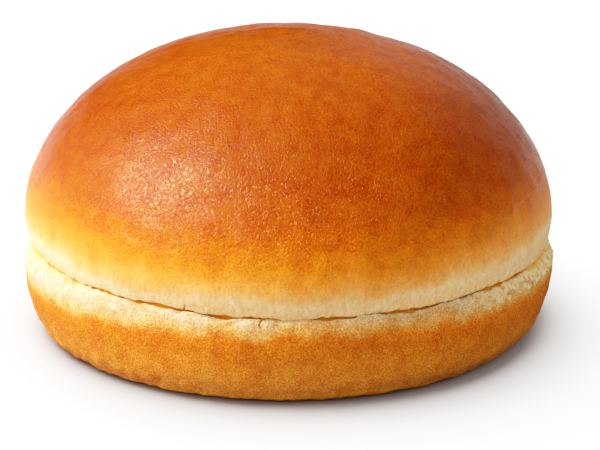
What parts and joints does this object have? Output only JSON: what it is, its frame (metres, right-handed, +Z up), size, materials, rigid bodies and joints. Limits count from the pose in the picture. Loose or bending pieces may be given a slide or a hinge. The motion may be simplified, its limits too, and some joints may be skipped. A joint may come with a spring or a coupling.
{
  "type": "bread roll",
  "caption": "Round glazed bread roll, sliced level all round, its domed crown resting on a thinner matte heel.",
  "frame": {"origin": "under the middle of the roll, on the surface it rests on", "axes": "+Z up, from the heel's flat base to the top of the dome; the side seen in the picture faces -Y"},
  "size_m": [0.1082, 0.1086, 0.0592],
  "materials": {
    "glazed_crust": "egg-washed bread crust, deep amber and glossy on the dome, pale cream and matte near the cut",
    "dry_crust": "unglazed bread crust, matte and finely grained, tan-orange with a cream edge at the cut"
  },
  "bodies": {
    "root": {"heel": "dry_crust", "crown": "glazed_crust"}
  },
  "joints": []
}
